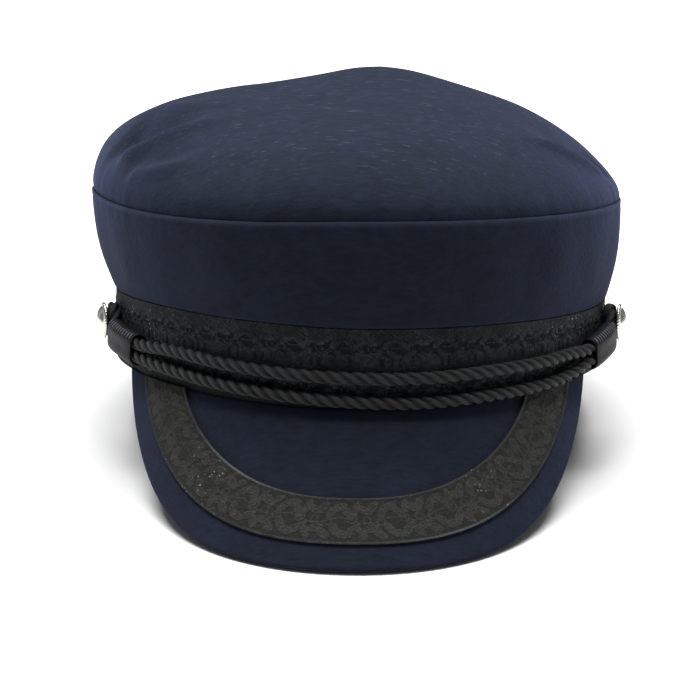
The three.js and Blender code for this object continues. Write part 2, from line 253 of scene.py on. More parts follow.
class Finish:
    """A material whose nodes are added one at a time."""

    def __init__(self, name):
        self.material = bpy.data.materials.new(name)
        self.material.use_nodes = True
        self.tree = self.material.node_tree
        self.shader = self.tree.nodes["Principled BSDF"]

    def node(self, kind, settings=None, inputs=None, output=0):
        made = self.tree.nodes.new(kind)
        for name, value in (settings or {}).items():
            setattr(made, name, value)
        for key, value in (inputs or {}).items():
            self.put(value, made.inputs[key])
        return Varies(self, made.outputs[output])

    def put(self, value, socket):
        if isinstance(value, Varies):
            self.tree.links.new(value.socket, socket)
        else:
            socket.default_value = value

    def place(self):
        """Where a point is on its piece, in metres."""
        return self.node("ShaderNodeTexCoord", output="Object")

    def stretched(self, where, scale):
        """The same place with each axis multiplied, so a pattern on it is drawn out."""
        return self.node("ShaderNodeVectorMath", {"operation": "MULTIPLY"}, {0: where, 1: scale})

    def attribute(self, name):
        """One of the numbers that a mesh keeps for each of its points."""
        return self.node("ShaderNodeAttribute", {"attribute_name": name}, output="Fac")

    def noise(self, where, scale, detail=2.0, roughness=0.5):
        inputs = {"Vector": where, "Scale": scale, "Detail": detail, "Roughness": roughness}
        return self.node("ShaderNodeTexNoise", inputs=inputs)

    def cells(self, where, scale):
        inputs = {"Vector": where, "Scale": scale}
        return self.node("ShaderNodeTexVoronoi", inputs=inputs, output="Distance")

    def mix(self, share, first, second):
        """Two colours mixed: all first where share is 0, all second where it is 1."""
        inputs = {"Factor": share, 6: first, 7: second}
        return self.node("ShaderNodeMix", {"data_type": "RGBA"}, inputs, output=2)

    def bump(self, height, depth, strength, under=None):
        inputs = {"Height": height, "Distance": depth, "Strength": strength}
        if under is not None:
            inputs["Normal"] = under
        return self.node("ShaderNodeBump", inputs=inputs)

    def surface(self, **sockets):
        """Sets the shader's own sockets, named with _ for each space."""
        for name, value in sockets.items():
            self.put(value, self.shader.inputs[name.replace("_", " ")])
        return self.material


def tint(red, green, blue):
    """A colour as a paint program shows it, from 0 to 255, for a shader."""
    shares = [value / 255 for value in (red, green, blue)]
    linear = [s / 12.92 if s < 0.0404 else ((s + 0.055) / 1.055) ** 2.4 for s in shares]
    return (*linear, 1)


paper = Finish("plain_floor")
mottle = paper.noise(paper.place(), 3, 2)
shade = paper.mix(mottle, (0.78, 0.78, 0.78, 1), (0.81, 0.81, 0.81, 1))
floor.data.materials.append(paper.surface(Base_Color=shade, Roughness=0.9))
print("floor is pale and plain")

# %% [markdown]
# ### Felted wool
# Melton wool has no weave to see: the cloth is fulled until a nap of fine fibres covers it. What
# shows is a cloudy mottle, short brushed streaks that run across, a few pale lint fibres, and a
# soft sheen where the cloth turns away. The roll just below the seam gets a painted highlight: its
# colour is mixed towards the same pale tone as the lint.

# %% Felted wool
wool = Finish("navy_wool")
where = wool.place()
cloud = wool.noise(where, 70, 5, 0.62)
patch = wool.noise(where, 230, 4, 0.65)
streak = wool.noise(wool.stretched(where, (190, 950, 950)), 1, 3, 0.6)
nap = wool.noise(where, 2300, 2, 0.6)
tone = (cloud * 0.25 + patch * 0.3 + streak * 0.4 + nap * 0.05).between(0.33, 0.67)
cloth_tone = wool.mix(tone, tint(15, 19, 26), tint(24, 30, 43))
lint_strands = wool.noise(wool.stretched(where, (140, 1100, 1100)), 1, 2, 0.5).between(0.62, 0.76)
lint_share = lint_strands * wool.attribute("lint") * 0.3
# painted highlight: the seam roll below the crown seam is mixed towards the pale tone
worn = wool.attribute("worn")
lint_and_roll_highlight = wool.mix(lint_share + worn * 0.15, cloth_tone, tint(84, 93, 116))
lumps = wool.bump(cloud * 0.6 + patch * 0.4, 0.002, 0.25)
hairs = wool.bump(nap * 0.4 + streak * 0.6, 0.0006, 0.35, lumps)
wool_cloth = wool.surface(
    Base_Color=lint_and_roll_highlight,
    Roughness=0.95,
    Normal=hairs,
    Sheen_Weight=0.14,
    Sheen_Roughness=0.5,
    Sheen_Tint=tint(134, 150, 220),
    Specular_IOR_Level=0.15,
)
print("wool has", len(wool.tree.nodes), "nodes")

# %% [markdown]
# ### Braid, cord, leather and metal
# The braid is black silky thread: raised leaves catch the light and look grey, and the ground
# between them stays black. Its shader reads how high each point of the relief stands, which the
# mesh stores as an attribute, and paints that light into the colour: painted highlights on the
# leaves, painted shade in the ground. A few spots carry painted glints, and two stretches of the
# peak braid's edges a painted highlight. Old thread is never neat, so noise frays and crumples it,
# and thin winding lines where noise crosses its middle value make loose curls. The cord is the same
# thread laid in yarns, with painted shade in the grooves between its strands and painted highlights
# on their crowns. The keepers are smooth leather, and the buttons are polished nickel.

# %% Black braid
THREAD = 0.95


def braid_finish(name, dark, light, lit_from, glint):
    """Braid painted black in its sunken ground and grey where raised, as painted shade and highlights.
    Glint is how bright its painted sparkles are.
    """
    braid = Finish(name)
    where = braid.place()
    height = braid.attribute("relief")
    along = braid.attribute("along")
    across = braid.attribute("across")
    threads = (along * (1 / THREAD)).wave()
    twill = (along * 1.4 + across * 1.1).wave()
    frayed = braid.noise(where, 1000, 3, 0.65)
    patch = braid.noise(where, 110, 4, 0.65)
    crumple = braid.noise(where, 520, 4, 0.7)
    curls = 1 - ((braid.noise(where, 290, 3, 0.6) - 0.5).math("ABSOLUTE") * 22).between(0, 1)
    # painted light: the higher the relief, the lighter the thread tone, as painted highlights on the
    # leaves and painted shade in the ground
    brightness = height * patch * 1.4 + frayed * 0.7 + crumple * 0.6 + curls * patch * 0.3 - 0.66
    lit = brightness.between(lit_from, 0.85)
    thread_tone = braid.mix(lit, dark, light)
    # painted glints: near-white specks mixed into the colour at a few spots
    sparks = 1 - braid.cells(where, 800).between(0.1, 0.3)
    sparkling = braid.attribute("sparkle")
    painted_glints = sparks * sparkling * braid.noise(where, 160, 2).between(0.48, 0.64)
    # painted highlight along stretches of the braid's edges
    edge_tone = braid.mix(braid.attribute("edge_light") * 0.4, thread_tone, tint(128, 134, 138))
    bright_tone = braid.mix(painted_glints * glint, edge_tone, tint(225, 225, 220))
    ground = 1 - height.between(0.1, 0.5)
    woven = threads * ground * 0.1 + twill * height.between(0.2, 0.6) * 0.2
    weave = woven + frayed * 0.6 + crumple * 0.9 + curls * 0.4
    return braid.surface(
        Base_Color=bright_tone,
        Roughness=0.9 - lit * 0.25,
        Specular_IOR_Level=0.2,
        Normal=braid.bump(weave, 0.0006, 0.7),
        Sheen_Weight=0.03,
        Sheen_Roughness=0.4,
    )


band_finish = braid_finish("black_braid", tint(15, 17, 19), tint(46, 50, 54), 0.05, 0.5)
peak_braid_finish = braid_finish("grey_braid", tint(28, 28, 27), tint(51, 51, 50), -0.2, 0.5)

# %% Cord, leather and nickel
cordage = Finish("charcoal_cord")
where = cordage.place()
along = cordage.attribute("along")
round_strand = cordage.attribute("across")
yarn_lines = (round_strand * 16 - along * 0.6).wave()
fuzz = cordage.noise(where, 1400, 3, 0.6)
# painted light: points facing out of their strand are painted lighter as highlights, and the grooves
# between strands near black as shade
raised = cordage.attribute("relief").between(0.4, 0.95)
painted_cord_light = (raised * 0.9 + yarn_lines * 0.15 + fuzz * 0.3 - 0.27).between(0, 1)
cord_thread = cordage.surface(
    Base_Color=cordage.mix(painted_cord_light, tint(1, 1, 1), tint(44, 45, 46)),
    Roughness=0.55 + fuzz * 0.15,
    Normal=cordage.bump(yarn_lines * 0.8 + fuzz * 0.4, 0.00025, 0.8),
    Specular_IOR_Level=0.35,
    Sheen_Weight=0.05,
    Sheen_Roughness=0.35,
)

leather = Finish("black_leather")
where = leather.place()
pores = leather.cells(where, 1500)
wrinkle = leather.noise(where, 320, 4, 0.65)
rubbed = wrinkle.between(0.5, 0.75)
leather_skin = leather.surface(
    Base_Color=leather.mix(rubbed * 0.6, tint(15, 14, 19), tint(36, 34, 42)),
    Roughness=0.5 + wrinkle * 0.2,
    Specular_IOR_Level=0.15,
    Normal=leather.bump(pores * 0.5 + wrinkle, 0.00035, 0.5),
)

nickel = Finish("polished_nickel")
where = nickel.place()
film = nickel.noise(where, 260, 3, 0.6)
scratches = nickel.noise(nickel.stretched(where, (300, 2500, 900)), 1, 2)
nickel_plate = nickel.surface(
    Base_Color=nickel.mix(film.between(0.45, 0.8) * 0.5, tint(214, 212, 207), tint(150, 146, 138)),
    Metallic=1.0,
    Roughness=0.14 + film * 0.14,
    Normal=nickel.bump(scratches, 0.00005, 0.4),
)

sewing = Finish("violet_grey_thread")
twist = sewing.noise(sewing.stretched(sewing.place(), (2500, 2500, 800)), 1, 2)
sewing_thread = sewing.surface(
    Base_Color=sewing.mix(twist, tint(62, 60, 70), tint(118, 114, 128)),
    Roughness=0.45,
    Normal=sewing.bump(twist, 0.0002, 0.6),
)
print("finishes:", [m.name for m in bpy.data.materials])

# %% [markdown]
# ## Working on a mesh
# Operators act on what is selected, so each step first makes one piece the only selected and active
# one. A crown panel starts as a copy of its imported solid, which is a shell of loose triangles: its
# corners are welded, triangles become quads again, and a Subdivision Surface rounds it. Then points
# can be pushed about like clay.

# %% Helpers for one piece at a time
WELD_DISTANCE = 0.00002
SHARP_ANGLE = math.radians(50)


def only(piece):
    if bpy.context.mode != "OBJECT":
        bpy.ops.object.mode_set(mode="OBJECT")
    bpy.ops.object.select_all(action="DESELECT")
    piece.select_set(True)
    bpy.context.view_layer.objects.active = piece
    return piece


def edit(piece, select_by="VERT"):
    """Opens a piece in edit mode, where points, edges or faces are picked."""
    only(piece)
    kinds = ("VERT", "EDGE", "FACE")
    bpy.context.tool_settings.mesh_select_mode = [kind == select_by for kind in kinds]
    bpy.ops.object.mode_set(mode="EDIT")


def leave_edit():
    bpy.ops.object.mode_set(mode="OBJECT")


def face_outwards(piece):
    edit(piece)
    bpy.ops.mesh.select_all(action="SELECT")
    bpy.ops.mesh.normals_make_consistent(inside=False)
    leave_edit()


def apply_modifier(piece, kind, **settings):
    only(piece)
    bpy.ops.object.modifier_add(type=kind)
    modifier = piece.modifiers[-1]
    for name, value in settings.items():
        setattr(modifier, name, value)
    bpy.ops.object.modifier_apply(modifier=modifier.name)


def smooth_subdivide(piece, levels):
    apply_modifier(piece, "SUBSURF", levels=levels, render_levels=levels)


def read_vectors(items, name):
    flat = np.empty(len(items) * 3)
    items.foreach_get(name, flat)
    return flat.reshape(-1, 3)


def points_of(piece):
    return read_vectors(piece.data.vertices, "co")


def move_points(piece, places):
    piece.data.vertices.foreach_set("co", np.asarray(places, float).ravel())
    piece.data.update()


def store(piece, **numbers):
    """Keeps numbers for each point of the mesh, for a finish to read by their names."""
    for name, values in numbers.items():
        layer = piece.data.attributes.new(name, "FLOAT", "POINT")
        layer.data.foreach_set("value", np.asarray(values, float).ravel())


def soft_copy(node, name, levels):
    """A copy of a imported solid, welded and rounded."""
    only(frame["nodes"][node])
    bpy.ops.object.duplicate()
    piece = bpy.context.object
    piece.name = name
    piece.data.name = name
    piece.parent = None
    del piece["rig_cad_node"]
    edit(piece)
    bpy.ops.mesh.select_all(action="SELECT")
    bpy.ops.mesh.remove_doubles(threshold=WELD_DISTANCE)
    bpy.ops.mesh.tris_convert_to_quads(face_threshold=math.pi, shape_threshold=math.pi)
    leave_edit()
    smooth_subdivide(piece, levels)
    return piece


def complete(piece, finish, node):
    """Gives a finished piece its material and smooth shading, and hides the imported solid that it
    stands for.
    """
    places = points_of(piece)
    places[:, 2] = np.maximum(places[:, 2], 0)
    move_points(piece, places)
    only(piece)
    piece.data.materials.clear()
    piece.data.materials.append(finish)
    bpy.ops.object.shade_smooth_by_angle(angle=SHARP_ANGLE)
    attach(piece, "root")
    if node:
        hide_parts(node)
    triangles = sum(len(p.vertices) - 2 for p in piece.data.polygons)
    print(piece.name, "has", triangles, "triangles")


# %% [markdown]
# ### Crown
# The top panel is puffed where the stitching pulls it down along the seam, and the cloth there is a
# little too long for the seam, so it stands in small puckers that fade out within a finger's width.
# On the wearer's right the panel has slumped into long soft folds, and on the left it has one dent.
# The solid has the folds too, but its facets are too large for a crest, so each crest and hollow is
# pushed in again here along a line, as a thumb would, on the finer mesh. Subdividing also rounds
# the cut edges of the cloth. Two round edges would let daylight through the seam, so each is
# pressed flat again and brought up to its neighbour.

# %% Soft unevenness
def hills(along, across, waves):
    """Gentle hills and hollows. Each wave is its size along, its size across and where it starts."""
    return sum(np.sin(along * a + across * b + c) for a, b, c in waves) / len(waves)


def crease(level, line, width, height):
    """A crest, or a hollow for a height below 0, along a line in plan. It fades out at both ends."""
    line = np.array(line, float)
    ways = np.diff(line, axis=0)
    lengths = np.linalg.norm(ways, axis=1)
    travelled = np.concatenate([[0], np.cumsum(lengths)])
    offset = level[:, None, :2] - line[:-1]
    share = np.clip(np.sum(offset * ways, axis=2) / lengths**2, 0, 1)
    away = np.linalg.norm(offset - share[..., None] * ways, axis=2)
    nearest = np.argmin(away, axis=1)
    rows = np.arange(len(level))
    at = (travelled[nearest] + share[rows, nearest] * lengths[nearest]) / travelled[-1]
    fade = ease(at, 0, 0.15) * (1 - ease(at, 0.5, 1))
    return height * fade * np.exp(-((away[rows, nearest] / width) ** 1.5))


CREASES = [
    # line in plan, width, height
    ([(-92, 22), (-76, 14), (-60, 8), (-40, 2), (-16, 0)], 18, 1.4),
    ([(-80, -4), (-70, -12), (-58, -24), (-46, -27.5), (-34, -30)], 6, 1.3),
    ([(-83, -22), (-76, -31), (-66, -36), (-50, -39)], 7, -3.8),
    ([(-82, -41), (-78, -45), (-71.7, -48.7), (-55, -49.3), (-37, -46.6)], 2.6, 1.9),
    ([(-79, -51), (-75, -55), (-69.3, -60.3), (-58.9, -66.4), (-47, -66.3)], 4.5, -1.8),
    ([(-78, -55), (-73, -61), (-69, -65.7), (-62, -72), (-50, -77)], 2.6, 1.9),
    ([(84, -20), (80, -27), (74.4, -34.5), (67.4, -40.5), (59.2, -45.5), (47, -51.3)], 2.3, 2.0),
    ([(85, -8), (82, -14), (75, -25), (68, -31), (57, -38.5)], 4.5, -2.8),
]
PUCKERS = [(61, 0, 0.4), (83, 0, 2.1), (109, 0, 4.4), (37, 0, 1.2)]
BILLOWS = [(0.052, 0.031, 0.3), (-0.041, 0.063, 1.9), (0.083, -0.047, 4.1), (0.027, 0.09, 2.6)]
DIMPLES = [
    (0.21, 0.13, 0.7), (-0.16, 0.24, 2.2), (0.31, -0.19, 5.1), (0.11, 0.33, 1.4), (-0.27, -0.09, 3.3),
]
CROWN_EDGES = [
    # angle, how much higher than level the crown's lower edge lies, and its seam
    (-180, 0, 0), (-120, 1.4, 0.7), (-80, 2.4, 0.3), (-50, 2.6, -1.5), (-25, 1.4, -1.4), (0, 0.2, -0.2),
    (30, 0.3, -0.4), (60, 0.1, -1), (90, -0.1, -1.4), (135, 0, -0.7), (180, 0, 0),
]
SEAM_HEIGHT = 62.3
BAND_HEIGHT = 26
BAND_ARCH = 5.5
SOLID_GAP = 0.3
SEWN_GAP = 0.03
CUT_DEPTH = 0.3
RIM_STEPS = np.radians(np.arange(-180, 181, 5))


def round_angle(level):
    return np.arctan2(level[:, 0] / OVAL_X, -level[:, 1] / OVAL_Y)


def seam_at(angle):
    """The height of the seam, in the middle of the gap that the solids leave for it."""
    higher = read_table(np.degrees(angle), [(row[0], row[2]) for row in CROWN_EDGES])
    return SEAM_HEIGHT - SOLID_GAP / 2 + higher


def band_bottom(angle):
    return BAND_ARCH * np.sin(angle) ** 2


def band_top(angle):
    return BAND_HEIGHT + read_table(np.degrees(angle), [row[:2] for row in CROWN_EDGES])


def rim_at(angle, height, way):
    """How high a panel's rim is at each angle: its lowest points for way -1, its highest for way 1."""
    step = np.digitize(angle, RIM_STEPS[1:-1])
    rim = [way * (way * height[step == i]).max() for i in range(len(RIM_STEPS) - 1)]
    middles = (RIM_STEPS[1:] + RIM_STEPS[:-1]) / 2
    return np.interp(angle, middles, rim, period=2 * math.pi)


def close_seam(angle, height, way, reach):
    """How far up each point goes, so that a panel's rounded rim becomes a flat edge at the seam."""
    rim = rim_at(angle, height, way)
    depth = (rim - height) * way
    shift = way * (np.minimum(depth, CUT_DEPTH) - SEWN_GAP / 2) - rim
    return shift * (1 - ease(depth, CUT_DEPTH, reach))


def cloth_normals(piece, level, middle):
    """Straight out of the cloth, the same way on both of its faces, and which points lie outside."""
    normals = turn_back(read_vectors(piece.data.vertex_normals, "vector"), -LEAN)
    facing = np.sum(normals * (level - middle), axis=1)
    return normals * np.sign(facing)[:, None], facing > 0


# %% Crown top
BILLOW_HEIGHT = 0.6
DIMPLE_HEIGHT = 0.16
PUCKER_DEPTH = 0.3
PUCKER_REACH = 7.0

crown_top = soft_copy("crown_top", "crown_top_cloth", 2)
level = lay_level(points_of(crown_top))
angle = round_angle(level)
over_seam = level[:, 2] - seam_at(angle)
above = over_seam - SOLID_GAP / 2
normals, _ = cloth_normals(crown_top, level, (0, 0, 40))
folds = sum(crease(level, *row) for row in CREASES) * ease(above, 5, 14)
billows = hills(level[:, 0], level[:, 1], BILLOWS) * ease(above, 4, 16) * BILLOW_HEIGHT
dimples = hills(level[:, 0], level[:, 1], DIMPLES) * ease(above, 3, 12) * DIMPLE_HEIGHT
level += normals * (folds + billows + dimples)[:, None]
near_seam = np.exp(-((np.maximum(above, 0) / PUCKER_REACH) ** 2)) * np.clip(above / 1.5, 0, 1)
level += outward(angle) * (hills(angle, 0, PUCKERS) * near_seam * PUCKER_DEPTH)[:, None]
level[:, 2] += close_seam(angle, over_seam, -1, 3.5)
move_points(crown_top, stand(level))
store(crown_top, lint=ease(above, 6, 20))
complete(crown_top, wool_cloth, "crown_top")

# %% [markdown]
# The side panel is one strip of the same cloth. Its top edge is the turned-in seam allowance, which
# shows as a thin roll that catches the light just below the seam, and the roll's colour is painted
# paler too, a painted highlight. Its face has a few slow ripples, and is tugged at each pucker.

# %% Crown side
ROLL_HEIGHT = 0.36
ROLL_PLACE = 0.75
ROLL_WIDTH = 0.5
RIPPLE_DEPTH = 0.6
TUG_DEPTH = 0.2
TUG_REACH = 5.0

crown_side = soft_copy("crown_side", "crown_side_cloth", 2)
level = lay_level(points_of(crown_side))
angle = round_angle(level)
over_seam = level[:, 2] - seam_at(angle)
over_band = level[:, 2] - band_top(angle)
below = -SOLID_GAP / 2 - over_seam
up_side = np.clip((level[:, 2] - BAND_HEIGHT) / (SEAM_HEIGHT - BAND_HEIGHT), 0, 1)
_, outside = cloth_normals(crown_side, level, level * (0.9, 0.9, 1))
slow_waves = hills(angle, 0, [(9, 0, 0.5), (14, 0, 2.2), (23, 0, 1.1)])
ripple = slow_waves * np.sin(up_side * math.pi) * RIPPLE_DEPTH
tug = hills(angle, 0, PUCKERS) * np.exp(-((below / TUG_REACH) ** 2)) * TUG_DEPTH
roll = np.exp(-(((below - ROLL_PLACE) / ROLL_WIDTH) ** 2)) * outside
level += outward(angle) * (ripple + tug + roll * ROLL_HEIGHT)[:, None]
level[:, 2] += close_seam(angle, over_seam, 1, 3)
level[:, 2] += (SEWN_GAP * 2 - rim_at(angle, over_band, -1)) * (1 - ease(up_side, 0.1, 0.3))
move_points(crown_side, stand(level))
# painted highlight: the roll is kept for the wool's colour, which is mixed paler along it
store(crown_side, worn=roll)
complete(crown_side, wool_cloth, "crown_side")

# %% [markdown]
# ### Peak
# The peak is board covered in the crown's wool. Its rim is soft, because the cloth is wrapped round
# the board. Its rear corners, where it is sewn under the band, are pinched thinner, so that no
# blunt end shows from the side.

# %% Peak
PINCH = 1.7

peak = soft_copy("peak", "peak_wool", 2)
level = lay_level(points_of(peak))
angle = round_angle(level)
inwards = 1 - ease(np.hypot(level[:, 0] / OVAL_X, level[:, 1] / OVAL_Y), 0.98, 1.02)
corner = ease(np.degrees(np.abs(angle)), 54, 62) * inwards
level[:, 2] += corner * np.maximum(band_bottom(angle) - PINCH - level[:, 2], 0)
move_points(peak, stand(level))
complete(peak, wool_cloth, "peak")

# %% [markdown]
# ### Woven leaves
# Both braids carry the same old pattern: sprays of small pointed leaves and curled tendrils. A leaf
# is a low oval hump with a raised outline and a raised vein. A formula gives the height of the
# pattern at any point of a ribbon, so it can be pressed into a mesh of any shape. The peak's braid
# has the spray once, between two corded edges. The hat band has it twice, on both sides of a row of
# open slots, with a plain satin border along the top.

# %% The height of the pattern
SPRAY_REPEAT = 17
LEAVES = [
    # along, across, turn in degrees, half length
    (1.5, 3.1, 50, 2.6), (4.3, 4.3, 15, 2.3), (6.7, 2.4, -45, 2.7), (9.6, 4.0, 70, 2.2),
    (12.3, 3.2, -20, 2.7), (15.2, 4.3, 35, 2.2), (2.8, -2.9, -55, 2.7), (5.6, -4.3, -10, 2.3),
    (8.6, -2.7, 40, 2.6), (11.3, -4.2, -65, 2.1), (13.8, -2.5, 20, 2.6), (16.4, -4.1, -30, 2.3),
]
TENDRILS = [(8.1, 0.7, 1.5), (0.3, -0.3, 1.2), (12.9, 0.2, 1.1)]
LEAF_WIDTH = 0.95
LINE_WIDTH = 0.24


def ridge(distance):
    return np.exp(-((distance / LINE_WIDTH) ** 2))


def from_middle(distance):
    """How far a point is from the middle of its own repeat of the spray."""
    return np.mod(distance + SPRAY_REPEAT / 2, SPRAY_REPEAT) - SPRAY_REPEAT / 2


def spray(along, across):
    """Leaves and tendrils over a ribbon's points, in millimetres, as heights from 0 to 1."""
    height = ridge(across - 0.9 * np.sin(2 * math.pi * along / SPRAY_REPEAT)) * 0.8
    for x, y, degrees, length in LEAVES:
        near = from_middle(along - x)
        turn = math.radians(degrees)
        a = (near * math.cos(turn) + (across - y) * math.sin(turn)) / length
        b = np.abs((across - y) * math.cos(turn) - near * math.sin(turn))
        half = np.clip(1 - a**2, 0, 1) ** 0.7 * (1 - 0.25 * a) * LEAF_WIDTH
        hump = np.sqrt(np.clip(1 - (b / np.maximum(half, 0.02)) ** 2, 0, 1)) * (np.abs(a) < 1)
        lines = np.maximum(ridge(b - half), ridge(b) * 0.9) * (np.abs(a) < 1.02)
        height = np.maximum(height, np.maximum(hump * 0.5, lines))
    for x, y, radius in TENDRILS:
        near = from_middle(along - x)
        height = np.maximum(height, ridge(np.hypot(near, across - y) - radius) * 0.9)
    return height


def corded_edge(along, from_edge, width):
    """A twisted cord woven in along the ribbon's edge."""
    over = (from_edge - width) / width
    return np.sqrt(np.clip(1 - over**2, 0, 1)) * (0.85 + 0.15 * np.cos(2 * math.pi * along / 1.4))


samples = spray(*np.meshgrid(np.linspace(0, 40, 200), np.linspace(-7, 7, 80)))
print("pattern runs from", round(float(samples.min()), 2), "to", round(float(samples.max()), 2))

# %% [markdown]
# ### Hat band
# The band is one hoop of braid. A cylinder with many thin columns is cut into rows, its points are
# moved onto the band's oval, and the pattern lifts them by a fraction of a millimetre. A bridge
# between its two edges, pushed inwards, makes the plain back of the braid.

# %% Hat band
BAND_COLUMNS = 1400
BAND_ROWS = 62
BAND_WALL = 2.6
BAND_RELIEF = 0.6
BAND_SINK = 0.15
SLOT_SPACING = 3.3


def band_pattern(along, across):
    """The hat band's heights from 0 to 1: slots, sprays above and below them, and the top border. The
    bottom border is left at 0, black, as painted shade below the cord.
    """
    up = np.abs(across)
    spot = np.mod(along + 0.5 * np.sin(along * 0.71), SLOT_SPACING) - SLOT_SPACING / 2
    deep = 0.6 * (0.55 + 0.45 * np.sin(along * 0.43 + 1.3 * np.sin(along * 0.17)))
    slots = deep * np.exp(-((spot / 0.55) ** 2)) * ease(up, 0.3, 1) * (1 - ease(up, 3.4, 4.4))
    shifted = along + np.where(across < 0, SPRAY_REPEAT / 2, 0)
    leaves = spray(shifted, (up - 6.6) * 1.6)
    # painted shade: the lower border stays at height 0, sunk and black, as shade below the lower cord
    border = np.where(across > 0, 0.4 + 0.12 * np.cos(2 * math.pi * (up / 1.3 + along / 2.1)), 0)
    middle = (0.55 - slots) * (1 - ease(up, 3.6, 4.4))
    height = middle + leaves * ease(up, 3.6, 4.4) * (1 - ease(up, 9, 9.6))
    return np.clip(height + border * ease(up, 9, 9.6), 0, 1)


def pick_edges(piece, test):
    """Opens a piece in edit mode with only the edges selected whose two end points pass a test."""
    only(piece)
    places = points_of(piece)
    ends = np.empty(len(piece.data.edges) * 2, np.int32)
    piece.data.edges.foreach_get("vertices", ends)
    ends = ends.reshape(-1, 2)
    chosen = test(places[ends])
    touched = np.zeros(len(places), bool)
    touched[ends[chosen].ravel()] = True
    piece.data.vertices.foreach_set("select", touched)
    piece.data.edges.foreach_set("select", chosen)
    piece.data.polygons.foreach_set("select", np.zeros(len(piece.data.polygons), bool))
    edit(piece, "EDGE")


bpy.ops.mesh.primitive_cylinder_add(vertices=BAND_COLUMNS, radius=1, depth=2, end_fill_type="NOTHING")
band = bpy.context.object
band.name = "band_braid"
pick_edges(band, lambda ends: np.abs(ends[:, 0, 2] - ends[:, 1, 2]) > 1)
bpy.ops.mesh.subdivide(number_cuts=BAND_ROWS - 1)
leave_edit()
print("rows of braid:", len(band.data.vertices) / BAND_COLUMNS - 1)
pick_edges(band, lambda ends: np.all(np.abs(ends[:, :, 2]) > 0.9999, axis=1))
bpy.ops.mesh.bridge_edge_loops(number_cuts=3)
leave_edit()

places = points_of(band)
face_points = BAND_COLUMNS * (BAND_ROWS + 1)
angle = np.arctan2(places[:, 0], -places[:, 1])
share = (places[:, 2] + 1) / 2
height = band_bottom(angle) + (band_top(angle) - band_bottom(angle)) * share
whole_turn = np.linspace(-math.pi, math.pi, 2001)
steps = np.linalg.norm(np.diff(on_oval(whole_turn, 0, 0), axis=0), axis=1)
along = np.interp(angle, whole_turn, np.concatenate([[0], np.cumsum(steps)]))
across = (share - 0.5) * BAND_HEIGHT
relief = band_pattern(along, across)
inside = np.arange(len(places)) >= face_points
out = np.where(inside, -BAND_WALL, relief * BAND_RELIEF - BAND_SINK)
height = np.where(inside & (share > 0.7), band_top(angle), height)
height = np.where(inside & (share < 0.3), band_bottom(angle), height)
move_points(band, stand(on_oval(angle, out, height)))
# painted glints: where the band's finish mixes in near-white specks, about 60 degrees to each side of
# the front
sparkle = np.exp(-(((np.abs(angle) - 1.05) / 0.22) ** 2)) * (1 - inside)
store(band, relief=np.where(inside, 0, relief), along=along, across=across, sparkle=sparkle)
face_outwards(band)
complete(band, band_finish, "hat_band")

# %% [markdown]
# ### Braid on the peak
# The braid lies on the peak in a U. A long flat grid is laid along the U, pressed into the same
# leaves, and a Solidify gives it a back. Its outer and inner edges follow two curves, as the sewn
# ribbon does.

# %% Braid on the peak
PEAK_SLOPE = math.radians(50.5)
PEAK_DOWN = np.array([0, -math.cos(PEAK_SLOPE), -math.sin(PEAK_SLOPE)])
PEAK_ROOT = 1
GAP = 0.3
BRAID_OUTER = {"span": 56.2, "reach": 51.6, "fullness": 3.2}
BRAID_INNER = {"span": 41, "reach": 34.6, "fullness": 2.65}
BRAID_START = 1
BRAID_RELIEF = 0.28
BRAID_BASE = 0.32
BRAID_THICKNESS = 0.42
BRAID_WIDTH = 14.5
BRAID_COLUMNS = 640
BRAID_ROWS = 48
EDGE_CORD = 0.35
SPARKLES = [(48, 11), (158, 8)]
# where the painted highlight on the braid's inner and outer edges lies, and how far it reaches
INNER_EDGE_LIT = 56
OUTER_EDGE_LIT = 138
EDGE_LIT_REACH = 18


def on_peak(angle, reach, lift):
    """A point of the peak's upper face: so far down its slope, and lifted off it."""
    root = on_oval(angle, GAP, band_bottom(angle) + PEAK_ROOT)
    step = 1e-3
    ahead = on_oval(angle + step, GAP, band_bottom(angle + step))
    behind = on_oval(angle - step, GAP, band_bottom(angle - step))
    normal = -np.cross(ahead - behind, PEAK_DOWN)
    normal /= np.linalg.norm(normal, axis=-1, keepdims=True)
    return root + PEAK_DOWN * reach[..., None] + normal * lift[..., None]


def braid_curve(edge, turn):
    share = np.sin(turn)
    reach = edge["reach"] * np.clip(1 - np.abs(share) ** edge["fullness"], 0, 1) ** (1 / 1.5)
    return math.radians(edge["span"]) * share, np.maximum(BRAID_START, reach)


bpy.ops.mesh.primitive_grid_add(x_subdivisions=BRAID_COLUMNS, y_subdivisions=BRAID_ROWS, size=2)
peak_braid = bpy.context.object
peak_braid.name = "peak_braid_relief"
places = points_of(peak_braid)
fine = np.linspace(-math.pi / 2, math.pi / 2, 4001)
middle_angle = sum(braid_curve(edge, fine)[0] for edge in (BRAID_OUTER, BRAID_INNER)) / 2
middle_reach = sum(braid_curve(edge, fine)[1] for edge in (BRAID_OUTER, BRAID_INNER)) / 2
middle_line = on_peak(middle_angle, middle_reach, np.zeros_like(fine))
travel = np.concatenate([[0], np.cumsum(np.linalg.norm(np.diff(middle_line, axis=0), axis=1))])
braid_length = travel[-1]
along = (places[:, 0] + 1) / 2 * braid_length
turn = np.interp(along, travel, fine)
outer_angle, outer_reach = braid_curve(BRAID_OUTER, turn)
inner_angle, inner_reach = braid_curve(BRAID_INNER, turn)
share = (places[:, 1] + 1) / 2
angle = outer_angle + (inner_angle - outer_angle) * share
reach = outer_reach + (inner_reach - outer_reach) * share
across = (share - 0.5) * BRAID_WIDTH
from_edge = BRAID_WIDTH / 2 - np.abs(across)
inside_edges = ease(from_edge, 0.8, 1.3)
edges = corded_edge(along, from_edge, EDGE_CORD) * np.where(across > 0, 1, 0.6)
